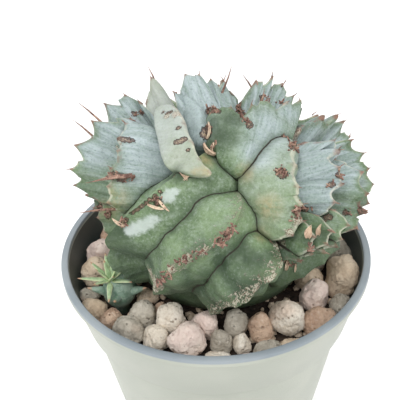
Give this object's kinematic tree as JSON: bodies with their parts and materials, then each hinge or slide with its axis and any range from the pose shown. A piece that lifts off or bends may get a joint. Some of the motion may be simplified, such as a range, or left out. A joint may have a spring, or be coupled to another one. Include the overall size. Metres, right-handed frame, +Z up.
{
  "type": "potted african milk barrel",
  "caption": "Blue-grey ribbed succulent with toothed spiny folds, a small offset beside it, set in gravel in a round tapered nursery pot.",
  "frame": {"origin": "middle of the pot's underside, on the surface it stands on", "axes": "+Z up through the pot and the plant, -Y towards the pictured front"},
  "size_m": [0.1055, 0.105, 0.1454],
  "materials": {
    "pot": "moulded pale grey-green plastic, slightly satin, with a blue-grey lip",
    "soil": "dark brown crumbly potting mix",
    "stem": "waxy blue-grey to green plant skin with brown spines and cream corky crests",
    "offset": "waxy blue-green young shoot with yellow-green leaf tips",
    "stone_tan": "rough porous tan pumice-like stone",
    "stone_rust": "rough porous rust pumice-like stone",
    "stone_pink": "rough porous pink pumice-like stone",
    "stone_grey": "rough porous grey pumice-like stone",
    "stone_cream": "rough porous cream pumice-like stone"
  },
  "bodies": {
    "root": {"pot": "pot", "soil": "soil", "stem": "stem", "offset": "offset", "stone_01": "stone_tan", "stone_02": "stone_pink", "stone_03": "stone_rust", "stone_04": "stone_cream", "stone_05": "stone_rust", "stone_06": "stone_cream", "stone_07": "stone_grey", "stone_08": "stone_tan", "stone_09": "stone_grey", "stone_10": "stone_cream", "stone_11": "stone_pink", "stone_12": "stone_pink", "stone_13": "stone_pink", "stone_14": "stone_cream", "stone_15": "stone_cream", "stone_16": "stone_grey", "stone_17": "stone_rust", "stone_18": "stone_grey", "stone_19": "stone_tan", "stone_20": "stone_grey", "stone_21": "stone_tan", "stone_22": "stone_pink", "stone_23": "stone_rust", "stone_24": "stone_grey", "stone_25": "stone_tan", "stone_26": "stone_grey", "stone_27": "stone_tan", "stone_28": "stone_grey", "stone_29": "stone_tan", "stone_30": "stone_cream", "stone_31": "stone_grey", "stone_32": "stone_tan", "stone_33": "stone_rust", "stone_34": "stone_grey", "stone_35": "stone_rust", "stone_36": "stone_grey", "stone_37": "stone_tan", "stone_38": "stone_tan", "stone_39": "stone_rust", "stone_40": "stone_cream", "stone_41": "stone_pink", "stone_42": "stone_rust", "stone_43": "stone_rust", "stone_44": "stone_rust", "stone_45": "stone_cream", "stone_46": "stone_cream", "stone_47": "stone_grey"}
  },
  "joints": []
}
